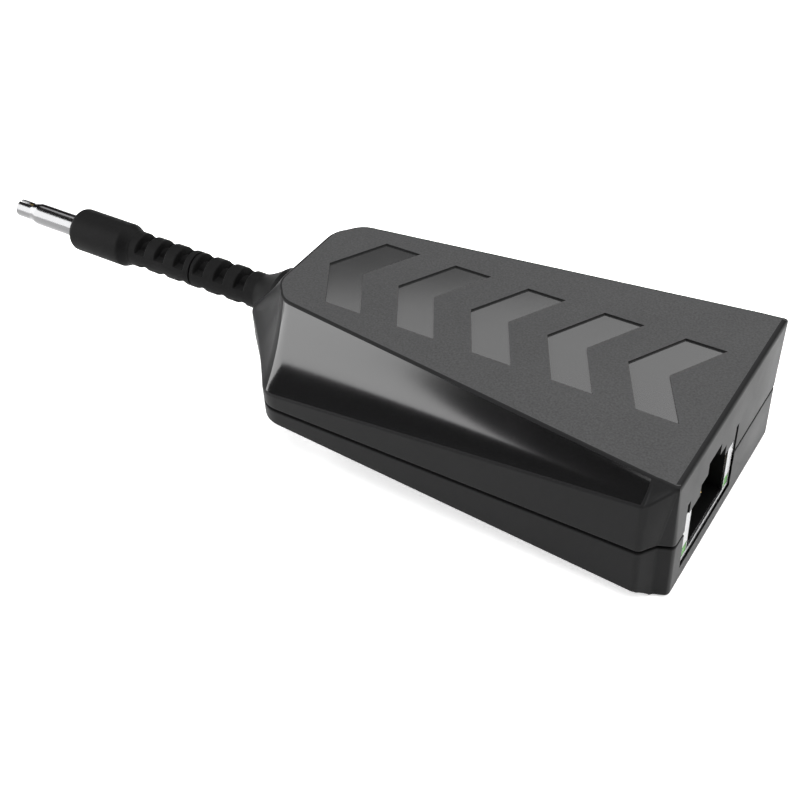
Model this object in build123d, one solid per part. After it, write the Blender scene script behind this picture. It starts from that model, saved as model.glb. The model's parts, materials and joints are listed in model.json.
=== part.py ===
from build123d import *
from math import hypot
import os

# In-line power adapter: a wedge-sided two-part case with one network jack at its +X end and a short
# moulded tail with a barrel plug at its -X end. Millimetres, +Z up, the origin is the middle of the
# case's flat underside.

# Case
CASE_END_X = 35.3  # half the case's length
CASE_HALF_W = 20.0
CASE_H = 19.4
PARTING_Z = 8.8
WALL = 1.5
GROOVE = 0.45  # height and depth of the groove between the shells
TONGUE_H = 0.9
SLIP = 0.1  # clearance between a tongue and its rebate
SEAT_GAP = 0.6  # space left beyond the end of anything that seats in a pocket
MERGE = 0.5  # how deep joined bodies reach into each other
CLEAR = 1.0  # how far a cutter stands out past what it cuts
EDGE_R = 0.75  # rounding of the jack end's long edges

# Plan outline corners, positive half
JACK_CORNER = (3.4, 2.9)  # length and width of the flat across each corner at the jack end
TAIL_CORNER_X = -22.6  # where the long side turns in towards the tail
TAIL_FLAT_Y = 5.4  # half width of the end wall that the tail leaves
CORNER_BULGE = 0.35  # how far the wall between those two corners swells outward
TAIL_FILLET, SIDE_FILLET, JACK_FILLET = 3.0, 5.0, 1.5

# Flat faces (top and underside) and the scoops beside them
FLAT_HALF_W0, FLAT_X0 = 10.2, -25.7
FLAT_HALF_W1 = 18.1  # at the jack end
FLAT_TAIL_X = -28.3  # tail edge of the flat faces
CORNER_FACET_IN = 4.35  # how far in the corner facet meets the flat face
SCOOP_DEPTH = 0.1  # sagitta of a scoop over its chord
CREASE_TOP = (11.2, 16.8)  # height of the upper crease at the tail corner and at the jack end
CREASE_LOW = (6.3, 1.5)
SIDE_DROP, END_DROP = 0.9, 0.6  # fall of the crease per unit of inset, long sides and tail end
CUT_REACH, CUT_LENGTH = 8.0, 30.0  # how far the slope cutters stand out and run to each side
SLAB_X = 45.0  # half length of cutters that run the whole case

# Arrow recesses
ARROW_COUNT, ARROW_PITCH, ARROW_TIP_X = 5, 11.3, -24.4
ARROW_BACK, ARROW_HALF_H, ARROW_W, ARROW_DEPTH = 4.5, 7.8, 5.6, 0.4  # sweep, half height, width, depth

# Jack
JACK_Y = -6.0
JACK_W, JACK_LEN, JACK_FRONT_X, JACK_Z0 = 16.0, 18.0, 35.1, 3.0
JACK_BROW_X, JACK_BROW_DROP = 33.7, 0.1  # the face above the port stands back behind the case wall
JACK_PLAY = 0.25  # between the jack's sides and the case
SHEET = 0.3
JACK_SINK = 0.3  # play under the jack
PORT_CUT_DEPTH = 3.0
WINDOW_PLAY = 0.1  # between a light pipe and the shield
LATCH_SLIT_W, LATCH_SLIT_Z1 = 0.9, 13.6  # slits in the case above the jack's side walls
PORT_W, PORT_Z0, PORT_Z1, PORT_DEPTH = 12.0, 3.75, 11.5, 14.0
TAB_STEPS = ((8.1, 13.25), (4.0, 15.1))  # width and top of each step above the port
LIGHT_Z, LIGHT_LEN = (3.8, 5.6), 9.0
LIGHT_GAP, LIGHT_SINK = 0.15, 0.05  # distance from the port's side and from the shield's face
CONTACT_COUNT, CONTACT_PITCH, CONTACT_R = 8, 1.02, 0.2
CONTACT_HINGE_X, CONTACT_HINGE_Z = 33.0, 4.4
CONTACT_LEN, CONTACT_RISE = 9.6, 12.0  # length and rest angle in degrees
LEG_R, LEG_Z0, LEG_TIP = 0.3, 9.0, 0.4
LEG_ROWS = (3.7, 1.2)  # distance of each row of legs from the jack's back

# Circuit board
BOARD_Z0, BOARD_T = 15.4, 1.6
BOARD_X1, BOARD_HALF_W1 = 33.3, 15.4
BOARD_X0, BOARD_HALF_W0 = -24.0, 8.0
BOARD_TIP_X, BOARD_TIP_HALF_W = -26.9, 4.4
BOARD_PLAY, LEG_PLAY = 0.25, 0.05  # round the screw bosses and round the jack's legs

# What hangs from the board: extents along X and Y, and height
LAN_X, LAN_Y, LAN_H = (0.6, 14.2), (-8.2, 1.0), 5.8
LAN_LEGS, LAN_LEG_FIRST, LAN_LEG_PITCH, LAN_LEG_W = 8, 1.2, 1.6, 0.5
LAN_LEG_OUT, LAN_LEG_T, LAN_LEG_H, LAN_STAND = 0.8, 0.25, 2.2, 0.2
POWER_X, POWER_HALF_W, POWER_H = (-16.4, -3.8), 6.0, 10.6
WINDING_R, CORE_LEG_R, PLATE_T, PLATE_HALF_W, PLATE_UP = 3.6, 2.0, 1.0, 4.6, 0.6
YOKE_T, OUTER_LEG_T, CORE_HALF_H = 2.2, 1.3, 3.2
INPUT_CAN = (21.6, 8.6, 4.0, 11.2)  # X, Y, radius, height
OUTPUT_CANS = ((3.6, 7.0, 3.15, 8.0), (10.6, 7.4, 3.15, 8.0))
CAN_RIM_R, CAN_GROOVE, CAN_GROOVE_UP = 0.5, (0.7, 0.3), 1.2  # groove height and depth, distance from board
RECTIFIERS = ((27.2, 29.2, 2.9, 6.9, 1.4), (27.2, 29.2, 7.3, 11.3, 1.4))
CONTROLLER = (-1.6, 0.2, -8.4, -4.6, 0.9)
TRANSISTOR = (-1.6, 0.2, -3.4, 0.6, 1.4)
DIODE = (-1.6, 0.2, 6.4, 10.4, 2.2)
INDUCTOR, INDUCTOR_R = (-24.4, -19.2, -2.6, 2.6, 3.8), 1.0
CAPACITOR_PLACES, CAPACITOR_SIZE = (
    (30.4, 4.2), (30.4, 10.2), (-0.9, -10.0), (16.0, 8.6), (16.0, 3.4)
), (1.2, 2.0, 1.2)
RESISTOR_PLACES, RESISTOR_SIZE = (
    (32.2, 4.4), (32.2, 7.0), (32.2, 9.6), (16.0, 5.6), (16.0, -12.6), (-0.9, 4.9)
), (0.8, 1.6, 0.5)

# Screws
SCREW_PLACES = ((-21.5, 7.2), (-21.5, -7.2), (28.0, 14.0), (9.0, -12.2))
SCREW_R, SCREW_HEAD_R, SCREW_HEAD_H, SCREW_LEN = 1.0, 1.9, 1.3, 9.5
SCREW_SEAT_Z = 2.4
SCREW_CROSS = (2.2, 0.5, 0.7)  # length, width and depth of the recess in the head
SCREW_PLAY, HEAD_PLAY = 0.15, 0.2
BOSS_R, BOSS_GAP = 2.4, 0.05  # the gap is between an upper and a lower boss
PILOT_R = 0.95

# Tail
TAIL_Z = 9.9
RELIEF_R, CABLE_R = 2.75, 1.5
FLARE_X = -37.3  # where the flare beside the case has run out
FLARE = ((-33.2, 5.4), (-34.4, 4.4), (-35.6, 3.55), (-36.6, 2.98))  # X and radius along it
RELIEF_MID_X, RELIEF_END_X = -49.4, -61.45
SLOT_COUNT, SLOT_PITCH, SLOT_W, SLOT_FIRST_X = 6, 3.8, 1.7, -39.05
SLOT_WEB = 1.0  # half height of the web that joins the rings on each side
NECK_R, FLANGE_R = 2.9, 3.9
SADDLE_X, SADDLE_HALF_W, FLANGE_T = -30.4, 6.2, 1.4
CABLE_START_X = -28.2
GRIP_R, GRIP_CONE, GRIP_FRONT_X, GRIP_ROUND = 3.4, 1.7, -73.15, 0.9

# Leads from the board to the cable
LEAD_R, LEAD_BEND_R, LEAD_SWAY = 0.55, 0.8, 0.7
LEAD_PAD, LEAD_END_Y, LEAD_DROP_Z = (-25.4, 3.2), 0.75, 12.5

# Barrel plug: a straight barrel, a short cone and a slit tip of smaller radius
BARREL_TIP_X, BARREL_NECK_X, BARREL_CONE_X, BARREL_ROOT_X = -86.2, -83.2, -81.9, -65.0
BARREL_R, BARREL_TIP_R, BARREL_WALL, BARREL_ROOT_R = 1.75, 1.42, 0.38, 1.5
BARREL_ROUND = 0.15
SLIT_W, SLIT_LEN = 0.45, 3.1
INSULATOR_TIP_X, CENTRE_TIP_X = -81.6, -84.6
CENTRE_R, CENTRE_BORE_R, CENTRE_BORE_LEN = 0.95, 0.675, 9.5


def block(x0, x1, y0, y1, z0, z1):
    """A box between two corners."""
    middle = Pos((x0 + x1) / 2, (y0 + y1) / 2, (z0 + z1) / 2)
    return middle * Box(abs(x1 - x0), abs(y1 - y0), abs(z1 - z0))


def rod(x0, x1, radius, y=0.0, z=TAIL_Z):
    """A cylinder along X."""
    return Pos((x0 + x1) / 2, y, z) * Rot(0, 90, 0) * Cylinder(radius, abs(x1 - x0))


def post(x, y, z0, z1, radius):
    """A cylinder along Z."""
    return Pos(x, y, (z0 + z1) / 2) * Cylinder(radius, z1 - z0)


def prism(points, z0, z1):
    """A straight prism on a plan outline."""
    return Pos(0, 0, z0) * extrude(make_face(Polyline(*points, close=True)), amount=z1 - z0)


def mirrored(points):
    """Adds the other half of an outline that is drawn for y >= 0."""
    return list(points) + [(x, -y) for x, y in reversed(points)]


def grow(along, values):
    """A value that runs straight from the tail corner to the jack end."""
    share = (along - TAIL_CORNER_X) / (CASE_END_X - TAIL_CORNER_X)
    return values[0] + share * (values[1] - values[0])


def flat_half_width(x):
    """Half width of the top and underside flats."""
    return FLAT_HALF_W0 + (x - FLAT_X0) * (FLAT_HALF_W1 - FLAT_HALF_W0) / (CASE_END_X - FLAT_X0)


# ---------------------------------------------------------------- case form
def plan_face(inset):
    """Plan outline of the case at its parting line, drawn in by inset."""
    cut_x, cut_y = JACK_CORNER
    side, tail = (TAIL_CORNER_X, CASE_HALF_W), (-CASE_END_X, TAIL_FLAT_Y)
    run = hypot(side[0] - tail[0], side[1] - tail[1])
    swell = (
        (side[0] + tail[0]) / 2 - CORNER_BULGE * (side[1] - tail[1]) / run,
        (side[1] + tail[1]) / 2 + CORNER_BULGE * (side[0] - tail[0]) / run,
    )
    front = (CASE_END_X, CASE_HALF_W - cut_y)
    edges = []
    for way in (1, -1):
        corners = [(x, way * y) for x, y in (front, (CASE_END_X - cut_x, CASE_HALF_W), side)]
        edges.append(Polyline(*corners))
        edges.append(ThreePointArc(corners[-1], (swell[0], way * swell[1]), (tail[0], way * tail[1])))
    edges += [Line(front, (front[0], -front[1])), Line(tail, (tail[0], -tail[1]))]
    face = make_face(Curve() + edges)
    face = fillet([v for v in face.vertices() if v.X < -CASE_END_X + 0.1], TAIL_FILLET)
    face = fillet([v for v in face.vertices() if abs(v.X - TAIL_CORNER_X) < 0.1], SIDE_FILLET)
    face = fillet([v for v in face.vertices() if v.X > CASE_END_X - cut_x - 0.1], JACK_FILLET)
    return offset(face, -inset) if inset else face


def flip(shape, level):
    """Turns an upper cutter over for the underside."""
    return shape if level > 0 else mirror(shape, Plane.XY)


def scoop_section(x, inset, crease, top):
    """Section through the cutter of one long side, from the crease up to the flat."""
    low = (CASE_HALF_W - inset, grow(x, crease) - SIDE_DROP * inset)
    high = (flat_half_width(x) - inset, top - inset)
    chord = hypot(high[0] - low[0], high[1] - low[1])
    sag = SCOOP_DEPTH * chord
    middle = (
        (low[0] + high[0]) / 2 - sag * (high[1] - low[1]) / chord,
        (low[1] + high[1]) / 2 - sag * (low[0] - high[0]) / chord,
    )
    clear = top + 2
    edges = [
        ThreePointArc(low, middle, high),
        Polyline(high, (high[0], clear), (CASE_HALF_W + 3, clear), (CASE_HALF_W + 3, low[1]), low),
    ]
    return Plane((x, 0, 0), x_dir=(0, 1, 0), z_dir=(1, 0, 0)) * make_face(Curve() + edges)


def side_cutter(inset, crease, top):
    """What is scooped off along the +Y side."""
    ends = [scoop_section(x, inset, crease, top) for x in (-SLAB_X, SLAB_X)]
    return loft(ends, ruled=True)


def corner_cutter(inset, crease_z, top):
    """What is sloped off above the corner beside the tail."""
    start, end = (TAIL_CORNER_X, CASE_HALF_W), (-CASE_END_X, TAIL_FLAT_Y)
    run = hypot(start[0] - end[0], start[1] - end[1])
    along = ((start[0] - end[0]) / run, (start[1] - end[1]) / run)
    outward = (-along[1], along[0])
    section = Polyline(
        (-inset, crease_z - END_DROP * inset),
        (-CORNER_FACET_IN - inset, top - inset),
        (-CORNER_FACET_IN - inset, top + 2),
        (CUT_REACH, top + 2),
        (CUT_REACH, crease_z - END_DROP * inset),
        close=True,
    )
    frame = Plane((start[0], start[1], 0), x_dir=(*outward, 0), z_dir=(*along, 0))
    return extrude(frame * make_face(section), amount=CUT_LENGTH, both=True)


def tail_cutter(inset, crease_z, top):
    """What is sloped off above the end wall that the tail leaves."""
    section = Polyline(
        (-CASE_END_X + inset, crease_z - END_DROP * inset),
        (FLAT_TAIL_X + inset, top - inset),
        (FLAT_TAIL_X + inset, top + 2),
        (-CASE_END_X - CUT_REACH, top + 2),
        (-CASE_END_X - CUT_REACH, crease_z - END_DROP * inset),
        close=True,
    )
    return extrude(Plane.XZ * make_face(section), amount=CUT_LENGTH, both=True)


def end_rounding(inset, top):
    """Rounds the flat's long edge at the jack end."""
    x, z = CASE_END_X - inset - EDGE_R, top - inset - EDGE_R
    corner = block(x, x + CUT_REACH, -CUT_LENGTH, CUT_LENGTH, z, z + CUT_REACH)
    return corner - Pos(x, 0, z) * Rot(90, 0, 0) * Cylinder(EDGE_R, 3 * CUT_LENGTH)


def case_form(inset=0.0):
    """The closed outer form of the whole case, drawn in by inset."""
    solid = Pos(0, 0, inset) * extrude(plan_face(inset), amount=CASE_H - 2 * inset)
    low_crease = tuple(-z for z in CREASE_LOW)
    for level, crease, top in ((1, CREASE_TOP, CASE_H), (-1, low_crease, 0.0)):
        side = side_cutter(inset, crease, top)
        corner = corner_cutter(inset, crease[0], top)
        for cutter in (side, corner):
            solid -= flip(cutter, level)
            solid -= flip(mirror(cutter, Plane.XZ), level)
        solid -= flip(tail_cutter(inset, crease[0], top), level)
        solid -= flip(end_rounding(inset, top), level)
    return solid


def slab(z0, z1):
    """Everything between two heights."""
    return block(-SLAB_X, SLAB_X, -CUT_LENGTH, CUT_LENGTH, z0, z1)


def ring(outer_inset, inner_inset, z0, z1):
    """A rim that follows the plan outline."""
    band = extrude(plan_face(outer_inset), amount=z1 - z0)
    band -= extrude(plan_face(inner_inset), amount=z1 - z0)
    return Pos(0, 0, z0) * band


# ---------------------------------------------------------------- shells
def latch_steps(x0, x1):
    """The two steps above the port that the plug's latch slides along."""
    steps = [
        block(x0, x1, JACK_Y - width / 2, JACK_Y + width / 2, PORT_Z1 - 1, top) for width, top in TAB_STEPS
    ]
    return steps[0] + steps[1]


def port_cutout():
    """Opening of the jack through the end wall."""
    x0, x1 = CASE_END_X - PORT_CUT_DEPTH, CASE_END_X + CLEAR
    half, slit_half = JACK_W / 2 + JACK_PLAY, LATCH_SLIT_W / 2
    cut = block(x0, x1, JACK_Y - half, JACK_Y + half, JACK_Z0 - JACK_SINK, PORT_Z1)
    cut += latch_steps(x0, x1)
    for side in (-1, 1):
        slit_y = JACK_Y + side * (half - slit_half)
        cut += block(x0, x1, slit_y - slit_half, slit_y + slit_half, PORT_Z1 - 1, LATCH_SLIT_Z1)
    return cut


def jack_room():
    """Space inside the case that the jack fills."""
    half = JACK_W / 2 + JACK_PLAY
    y0, y1 = JACK_Y - half, JACK_Y + half
    return block(JACK_FRONT_X - JACK_LEN, CASE_END_X - WALL, y0, y1, JACK_Z0 - JACK_SINK, BOARD_Z0)


def arrow_recesses():
    """Five equal arrows that point at the tail."""
    cut = None
    for k in range(ARROW_COUNT):
        tip = ARROW_TIP_X + k * ARROW_PITCH
        points = [
            (tip, 0),
            (tip + ARROW_BACK, ARROW_HALF_H),
            (tip + ARROW_BACK + ARROW_W, ARROW_HALF_H),
            (tip + ARROW_W, 0),
            (tip + ARROW_BACK + ARROW_W, -ARROW_HALF_H),
            (tip + ARROW_BACK, -ARROW_HALF_H),
        ]
        arrow = prism(points, CASE_H - ARROW_DEPTH, CASE_H + 1)
        cut = arrow if cut is None else cut + arrow
    return cut


def saddle(inner):
    """Thickened end wall that holds the tail's neck."""
    return block(-CASE_END_X + MERGE, SADDLE_X, -SADDLE_HALF_W, SADDLE_HALF_W, MERGE, CASE_H - MERGE) & inner


def tail_passage():
    """Bore for the tail's neck and pocket for its flange."""
    neck = rod(-SLAB_X, SADDLE_X + CLEAR, NECK_R)
    return neck + rod(SADDLE_X, SADDLE_X + FLANGE_T + SEAT_GAP, FLANGE_R + SLIP)


def upper_shell(form, hollow, inner):
    shell = (form - hollow) & slab(PARTING_Z, CASE_H)
    shell += saddle(inner) & slab(PARTING_Z, CASE_H)
    for x, y in SCREW_PLACES:
        shell += post(x, y, PARTING_Z + BOSS_GAP, CASE_H - MERGE, BOSS_R) & inner
    shell -= ring(-CLEAR, GROOVE, PARTING_Z - CLEAR, PARTING_Z + GROOVE / 2)
    shell -= ring(WALL / 2 - SLIP, WALL + MERGE, PARTING_Z - CLEAR, PARTING_Z + TONGUE_H + SLIP)
    for x, y in SCREW_PLACES:
        shell -= post(x, y, PARTING_Z - CLEAR, SCREW_SEAT_Z + SCREW_LEN + SEAT_GAP, PILOT_R)
    return shell - tail_passage() - port_cutout() - arrow_recesses()


def lower_shell(form, hollow, inner):
    shell = (form - hollow) & slab(0, PARTING_Z)
    shell += saddle(inner) & slab(0, PARTING_Z)
    shell += ring(WALL / 2, WALL, PARTING_Z - MERGE, PARTING_Z + TONGUE_H)
    for x, y in SCREW_PLACES:
        shell += post(x, y, MERGE, PARTING_Z, BOSS_R) & inner
    shell -= ring(-CLEAR, GROOVE, PARTING_Z - GROOVE / 2, PARTING_Z)
    for x, y in SCREW_PLACES:
        shell -= post(x, y, -CLEAR, PARTING_Z + CLEAR, SCREW_R + SCREW_PLAY)
        shell -= post(x, y, -CLEAR, SCREW_SEAT_Z, SCREW_HEAD_R + HEAD_PLAY)
    return shell - tail_passage() - port_cutout() - jack_room()


def case_screw(x, y):
    """Self-tapping screw, head down, with a cross recess."""
    screw = post(x, y, SCREW_SEAT_Z - SCREW_HEAD_H, SCREW_SEAT_Z, SCREW_HEAD_R)
    screw += post(x, y, SCREW_SEAT_Z, SCREW_SEAT_Z + SCREW_LEN, PILOT_R)
    under = SCREW_SEAT_Z - SCREW_HEAD_H
    cross_len, cross_w, cross_depth = SCREW_CROSS
    for turn in (0, 90):
        screw -= Pos(x, y, under) * Rot(0, 0, turn) * Box(cross_len, cross_w, 2 * cross_depth)
    return screw


# ---------------------------------------------------------------- jack
def contact_rows():
    """Y of each contact."""
    middle = (CONTACT_COUNT - 1) / 2
    return [JACK_Y + (k - middle) * CONTACT_PITCH for k in range(CONTACT_COUNT)]


def leg_places():
    """Two staggered rows of legs behind the port."""
    back = JACK_FRONT_X - JACK_LEN
    return [(back + LEG_ROWS[k % 2], y) for k, y in enumerate(contact_rows())]


def port_void():
    """The stepped space that a plug goes into."""
    x0, x1 = JACK_FRONT_X - PORT_DEPTH, JACK_FRONT_X + 1
    half = PORT_W / 2
    return block(x0, x1, JACK_Y - half, JACK_Y + half, PORT_Z0, PORT_Z1) + latch_steps(x0, x1)


def light_window(side, x0, x1):
    """Bar of one light pipe, at a lower corner of the jack's face."""
    inner = JACK_Y + side * (PORT_W / 2 + LIGHT_GAP)
    outer = JACK_Y + side * (JACK_W / 2 - SHEET - WINDOW_PLAY)
    return block(x0, x1, min(inner, outer), max(inner, outer), *LIGHT_Z)


def brow_gap():
    """What the case wall takes of the jack's face above the port."""
    y0, y1 = JACK_Y - JACK_W, JACK_Y + JACK_W
    return block(JACK_BROW_X, CASE_END_X + CLEAR, y0, y1, PORT_Z1 - JACK_BROW_DROP, BOARD_Z0 + CLEAR)


def jack_housing():
    half = JACK_W / 2 - SHEET
    y0, y1 = JACK_Y - half, JACK_Y + half
    body = block(JACK_FRONT_X - JACK_LEN, JACK_FRONT_X - SHEET, y0, y1, JACK_Z0 + SHEET, BOARD_Z0)
    body -= brow_gap()
    body -= port_void()
    for side in (-1, 1):
        body -= light_window(side, JACK_FRONT_X - LIGHT_LEN, JACK_FRONT_X + 1)
    for x, y in leg_places():
        body -= post(x, y, LEG_Z0, BOARD_Z0 + 1, LEG_R)
    return body


def jack_shield():
    """Folded sheet round the sides, underside and front of the jack."""
    back, front, half = JACK_FRONT_X - JACK_LEN, JACK_FRONT_X, JACK_W / 2
    sheet = block(back, front, JACK_Y - half, JACK_Y + half, JACK_Z0, BOARD_Z0)
    inside = half - SHEET
    sheet -= block(back - 1, front - SHEET, JACK_Y - inside, JACK_Y + inside, JACK_Z0 + SHEET, BOARD_Z0 + 1)
    sheet -= port_void()
    sheet -= brow_gap()
    for side in (-1, 1):
        sheet -= light_window(side, front - 2, front + 1)
    return sheet


def light_pipes():
    return [light_window(side, JACK_FRONT_X - LIGHT_LEN, JACK_FRONT_X - LIGHT_SINK) for side in (-1, 1)]


def contact_spring(y):
    """One sprung contact, fixed end towards the mouth, free end up inside."""
    bar = Pos(-CONTACT_LEN / 2, 0, 0) * Rot(0, 90, 0) * Cylinder(CONTACT_R, CONTACT_LEN)
    bar += Sphere(CONTACT_R) + Pos(-CONTACT_LEN, 0, 0) * Sphere(CONTACT_R)
    return Pos(CONTACT_HINGE_X, y, CONTACT_HINGE_Z) * Rot(0, CONTACT_RISE, 0) * bar


def contact_legs():
    return [post(x, y, LEG_Z0, BOARD_Z0 + BOARD_T + LEG_TIP, LEG_R) for x, y in leg_places()]


# ---------------------------------------------------------------- board and what it carries
def circuit_board():
    half = [(BOARD_X1, BOARD_HALF_W1), (BOARD_X0, BOARD_HALF_W0), (BOARD_TIP_X, BOARD_TIP_HALF_W)]
    board = prism(mirrored(half), BOARD_Z0, BOARD_Z0 + BOARD_T)
    for x, y in SCREW_PLACES:
        board -= post(x, y, 0, CASE_H, BOSS_R + BOARD_PLAY)
    for x, y in leg_places():
        board -= post(x, y, 0, CASE_H, LEG_R + LEG_PLAY)
    return board


def hung(x0, x1, y0, y1, height):
    """A part that hangs from the board's underside."""
    return block(x0, x1, y0, y1, BOARD_Z0 - height, BOARD_Z0)


def can(x, y, radius, height):
    """Electrolytic capacitor: can with a rounded rim and a groove near the board."""
    body = post(x, y, BOARD_Z0 - height, BOARD_Z0, radius)
    body = fillet(body.edges().group_by(Axis.Z)[0], CAN_RIM_R)
    groove_h, groove_depth = CAN_GROOVE
    high = BOARD_Z0 - CAN_GROOVE_UP
    groove = post(x, y, high - groove_h, high, radius + 1) - post(x, y, 0, CASE_H, radius - groove_depth)
    return body - groove


def lan_transformer():
    return hung(*LAN_X, *LAN_Y, LAN_H) & slab(0, BOARD_Z0 - LAN_STAND)


def lan_transformer_legs():
    """Gull-wing legs along both long sides."""
    legs = []
    half, first = LAN_LEG_W / 2, LAN_X[0] + LAN_LEG_FIRST
    for side, y in zip((-1, 1), LAN_Y):
        for k in range(LAN_LEGS):
            x = first + k * LAN_LEG_PITCH
            foot = block(x - half, x + half, y, y + side * LAN_LEG_OUT, BOARD_Z0 - LAN_STAND, BOARD_Z0)
            rise = block(x - half, x + half, y, y + side * LAN_LEG_T, BOARD_Z0 - LAN_LEG_H, BOARD_Z0)
            legs.append(foot + rise)
    return legs


def transformer_bobbin():
    """Bobbin with its winding between two end plates."""
    x0, x1 = POWER_X
    middle = BOARD_Z0 - POWER_H / 2
    bobbin = rod(x0 + PLATE_T, x1 - PLATE_T, WINDING_R, 0, middle)
    for x in (x0, x1 - PLATE_T):
        bobbin += block(x, x + PLATE_T, -PLATE_HALF_W, PLATE_HALF_W, BOARD_Z0 - POWER_H + PLATE_UP, BOARD_Z0)
    return bobbin - rod(x0 - 1, x1 + 1, CORE_LEG_R, 0, middle)


def transformer_core():
    """Ferrite core: centre leg through the winding, yokes at both ends and outer legs at both sides."""
    x0, x1 = POWER_X
    middle, y1 = BOARD_Z0 - POWER_H / 2, POWER_HALF_W
    z0, z1 = middle - CORE_HALF_H, middle + CORE_HALF_H
    core = rod(x0 - YOKE_T / 2, x1 + YOKE_T / 2, CORE_LEG_R, 0, middle)
    for x in (x0 - YOKE_T, x1):
        core += block(x, x + YOKE_T, -y1, y1, z0, z1)
    for y in (-y1, y1 - OUTER_LEG_T):
        core += block(x0 - YOKE_T, x1 + YOKE_T, y, y + OUTER_LEG_T, z0, z1)
    return core


def output_inductor():
    drum = hung(*INDUCTOR)
    return fillet(drum.edges().filter_by(Axis.Z), INDUCTOR_R)


def chips(places, size):
    """Small surface-mounted parts of one size."""
    half_x, half_y, height = size[0] / 2, size[1] / 2, size[2]
    return [hung(x - half_x, x + half_x, y - half_y, y + half_y, height) for x, y in places]


def supply_lead(side):
    """Insulated wire from its pad on the board down to the end of the tail's cable."""
    pad_x, pad_y, end_y = LEAD_PAD[0], side * LEAD_PAD[1], side * LEAD_END_Y
    path = FilletPolyline(
        (pad_x, pad_y, BOARD_Z0),
        (pad_x, pad_y, LEAD_DROP_Z),
        (pad_x - LEAD_SWAY, end_y, TAIL_Z),
        (CABLE_START_X, end_y, TAIL_Z),
        radius=LEAD_BEND_R,
    )
    start = Plane((pad_x, pad_y, BOARD_Z0), z_dir=(0, 0, -1))
    return sweep(start * Circle(LEAD_R), path=path)


# ---------------------------------------------------------------- tail
def turned(profile):
    """A body turned about the tail's axis from (X, radius) points."""
    outline = Polyline((profile[0][0], 0), *profile, (profile[-1][0], 0), close=True)
    return Pos(0, 0, TAIL_Z) * revolve(Plane.XY * make_face(outline), Axis.X)


def cable(x0, x1):
    return rod(x0, x1, CABLE_R)


def relief_root(form):
    """Flange inside the case, neck through its wall and flare outside."""
    root = turned([(SADDLE_X, FLARE[0][1]), *FLARE, (FLARE_X, RELIEF_R)]) - form
    root += rod(-CASE_END_X - MERGE, SADDLE_X, NECK_R)
    root += rod(SADDLE_X, SADDLE_X + FLANGE_T, FLANGE_R)
    return root - cable(FLARE_X - CLEAR, 0)


def relief_slots():
    """Slots from above and from below that leave a web on each side."""
    cuts = []
    reach = RELIEF_R + 1
    for k in range(SLOT_COUNT):
        x = SLOT_FIRST_X - k * SLOT_PITCH
        for way in (1, -1):
            cuts.append(block(x - SLOT_W, x, -reach, reach, TAIL_Z + way * SLOT_WEB, TAIL_Z + way * reach))
    return cuts


def relief_half(x0, x1):
    """One half of the slotted sleeve round the cable."""
    return rod(x0, x1, RELIEF_R) - relief_slots() - cable(x0 + 1, x1 - 1)


def plug_grip():
    grip = turned([(RELIEF_END_X, RELIEF_R), (RELIEF_END_X - GRIP_CONE, GRIP_R), (GRIP_FRONT_X, GRIP_R)])
    grip = fillet(grip.edges().group_by(Axis.X)[0], GRIP_ROUND)
    return grip - cable(BARREL_ROOT_X, 0) - rod(BARREL_ROOT_X, BARREL_TIP_X, BARREL_ROOT_R)


def plug_sleeve():
    """Outer contact: root in the grip, straight barrel, cone and a tip with a slit above and below."""
    outer = [
        (BARREL_ROOT_X, BARREL_ROOT_R),
        (GRIP_FRONT_X, BARREL_ROOT_R),
        (GRIP_FRONT_X, BARREL_R),
        (BARREL_CONE_X, BARREL_R),
        (BARREL_NECK_X, BARREL_TIP_R),
        (BARREL_TIP_X, BARREL_TIP_R),
    ]
    sleeve = turned(outer)
    sleeve = fillet(sleeve.edges().group_by(Axis.X)[0], BARREL_ROUND)
    bore = [
        (BARREL_ROOT_X + 1, BARREL_R - BARREL_WALL),
        (BARREL_CONE_X, BARREL_R - BARREL_WALL),
        (BARREL_NECK_X, BARREL_TIP_R - BARREL_WALL),
        (BARREL_TIP_X - 1, BARREL_TIP_R - BARREL_WALL),
    ]
    sleeve -= turned(bore)
    return sleeve - Pos(BARREL_TIP_X + SLIT_LEN / 2, 0, TAIL_Z) * Box(SLIT_LEN, SLIT_W, 2 * BARREL_R)


def plug_insulator():
    return rod(BARREL_ROOT_X, INSULATOR_TIP_X, BARREL_R - BARREL_WALL) - rod(0, BARREL_TIP_X, CENTRE_R)


def plug_centre_contact():
    pin = rod(BARREL_ROOT_X, CENTRE_TIP_X, CENTRE_R)
    return pin - rod(CENTRE_TIP_X + CENTRE_BORE_LEN, BARREL_TIP_X - 1, CENTRE_BORE_R)


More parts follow.
